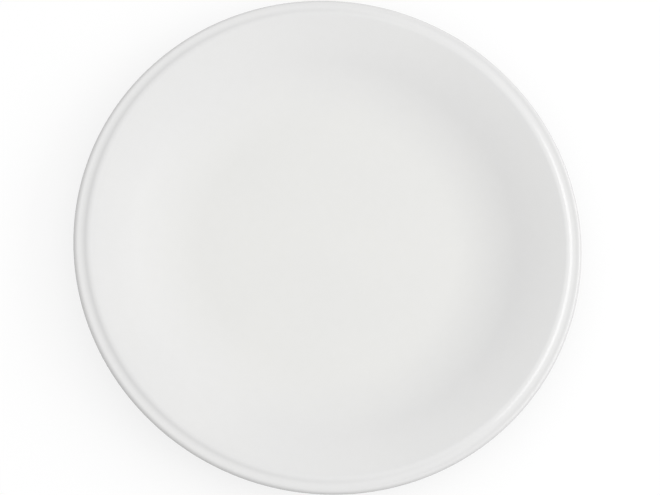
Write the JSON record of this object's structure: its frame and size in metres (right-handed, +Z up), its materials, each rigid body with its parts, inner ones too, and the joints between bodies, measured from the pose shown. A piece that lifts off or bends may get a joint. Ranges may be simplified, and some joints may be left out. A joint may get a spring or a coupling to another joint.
{
  "type": "coupe dinner plate",
  "caption": "Round rimless dinner plate of glazed white ceramic, with a flat floor, a wall that sweeps up to a ridged and rolled edge, and a bare foot ring to stand on.",
  "frame": {"origin": "middle of the foot ring's standing face, on the plate's axis", "axes": "+Z up along the plate's axis, out of the eating face; X and Y across the plate"},
  "size_m": [0.27, 0.27, 0.025],
  "materials": {
    "fired_clay": "bare fired clay, matt and fine-grained",
    "white_glaze": "smooth white gloss glaze"
  },
  "bodies": {
    "root": {"clay_body": "fired_clay", "outer_glaze": "white_glaze", "foot_well_glaze": "white_glaze"}
  },
  "joints": []
}
